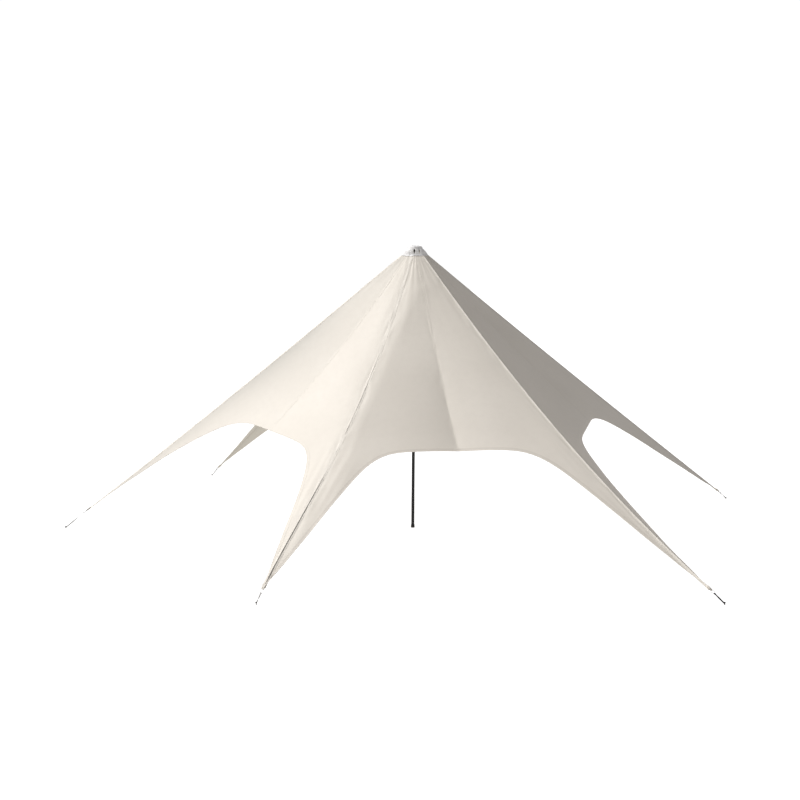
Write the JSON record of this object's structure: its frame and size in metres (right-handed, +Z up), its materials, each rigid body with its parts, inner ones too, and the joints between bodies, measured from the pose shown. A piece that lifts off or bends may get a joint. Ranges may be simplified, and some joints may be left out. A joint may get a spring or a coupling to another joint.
{
  "type": "star-shaped peak tent",
  "caption": "Star-shaped peak tent: pale cloth hung from one black centre pole, drawn out along webbed ridges to ground stakes, with arched openings between the arms.",
  "frame": {"origin": "centre of the pole foot's underside, at ground level", "axes": "+Z up along the pole; -Y out through the front arch, so +X is to the right of someone who faces the tent's front"},
  "size_m": [13.7934, 11.9714, 5.5284],
  "materials": {
    "cloth": "coated polyester tent cloth, cream, soft sheen",
    "webbing": "woven polyester webbing, pale cream",
    "tip_ring": "zinc-plated welded steel ring",
    "ground_strap": "woven polyester strap, grey-white",
    "stake": "forged steel stake, black paint",
    "pole": "powder-coated steel tube, satin black",
    "foot": "moulded black rubber shoe",
    "crown": "moulded white plastic, satin"
  },
  "bodies": {
    "root": {"front_panel_left_half": "cloth", "front_panel_right_half": "cloth", "right_panel_left_half": "cloth", "right_panel_right_half": "cloth", "back_right_panel_left_half": "cloth", "back_right_panel_right_half": "cloth", "back_panel_left_half": "cloth", "back_panel_right_half": "cloth", "back_left_panel_left_half": "cloth", "back_left_panel_right_half": "cloth", "left_panel_left_half": "cloth", "left_panel_right_half": "cloth", "front_left_ridge_webbing": "webbing", "front_right_ridge_webbing": "webbing", "right_ridge_webbing": "webbing", "back_right_ridge_webbing": "webbing", "back_left_ridge_webbing": "webbing", "left_ridge_webbing": "webbing", "front_left_tip_ring": "tip_ring", "front_right_tip_ring": "tip_ring", "right_tip_ring": "tip_ring", "back_right_tip_ring": "tip_ring", "back_left_tip_ring": "tip_ring", "left_tip_ring": "tip_ring", "front_left_ground_strap": "ground_strap", "front_right_ground_strap": "ground_strap", "right_ground_strap": "ground_strap", "back_right_ground_strap": "ground_strap", "back_left_ground_strap": "ground_strap", "left_ground_strap": "ground_strap", "front_left_ground_stake": "stake", "front_right_ground_stake": "stake", "right_ground_stake": "stake", "back_right_ground_stake": "stake", "back_left_ground_stake": "stake", "left_ground_stake": "stake", "lower_pole_section": "pole", "upper_pole_section": "pole", "pole_joint_sleeve": "pole", "pole_foot": "foot", "mast_head": "crown", "crown_cap": "crown"}
  },
  "joints": []
}
